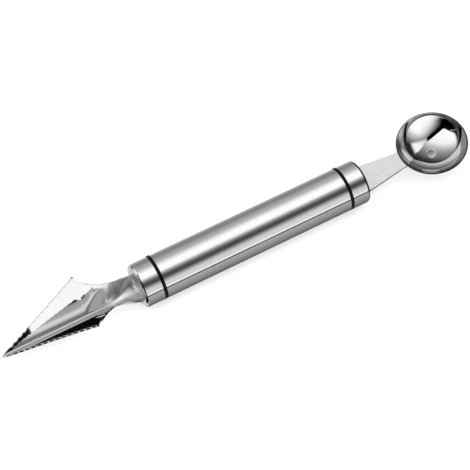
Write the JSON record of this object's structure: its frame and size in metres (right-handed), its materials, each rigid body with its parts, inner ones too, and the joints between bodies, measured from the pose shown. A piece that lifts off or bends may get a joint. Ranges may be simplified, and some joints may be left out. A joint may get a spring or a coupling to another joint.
{
  "type": "melon baller",
  "caption": "Double-ended melon baller: a round scoop bowl on a flat shank, a steel tube handle with black rings, and a folded carving blade with serrated edges.",
  "frame": {"origin": "middle of the handle tube, on its axis", "axes": "+X along the handle towards the scoop bowl, +Z the way the bowl and the blade's trough open"},
  "size_m": [0.215, 0.0304, 0.019],
  "materials": {
    "handle_steel": "satin, brushed around the tube",
    "cap_steel": "satin, brushed around the cap, polished front",
    "ring_plastic": "smooth black",
    "blade_steel": "mirror polished stainless steel",
    "shank_steel": "fine satin, nearly polished",
    "bowl_steel": "mirror polished stainless steel",
    "pin_steel": "plain"
  },
  "bodies": {
    "root": {"handle_tube": "handle_steel", "blade_plug": "ring_plastic", "scoop_plug": "ring_plastic", "blade_end_cap": "cap_steel", "scoop_end_cap": "cap_steel", "carving_blade": "blade_steel", "scoop_shank": "shank_steel", "scoop_bowl": "bowl_steel", "blade_pin": "pin_steel", "scoop_pin": "pin_steel"}
  },
  "joints": []
}
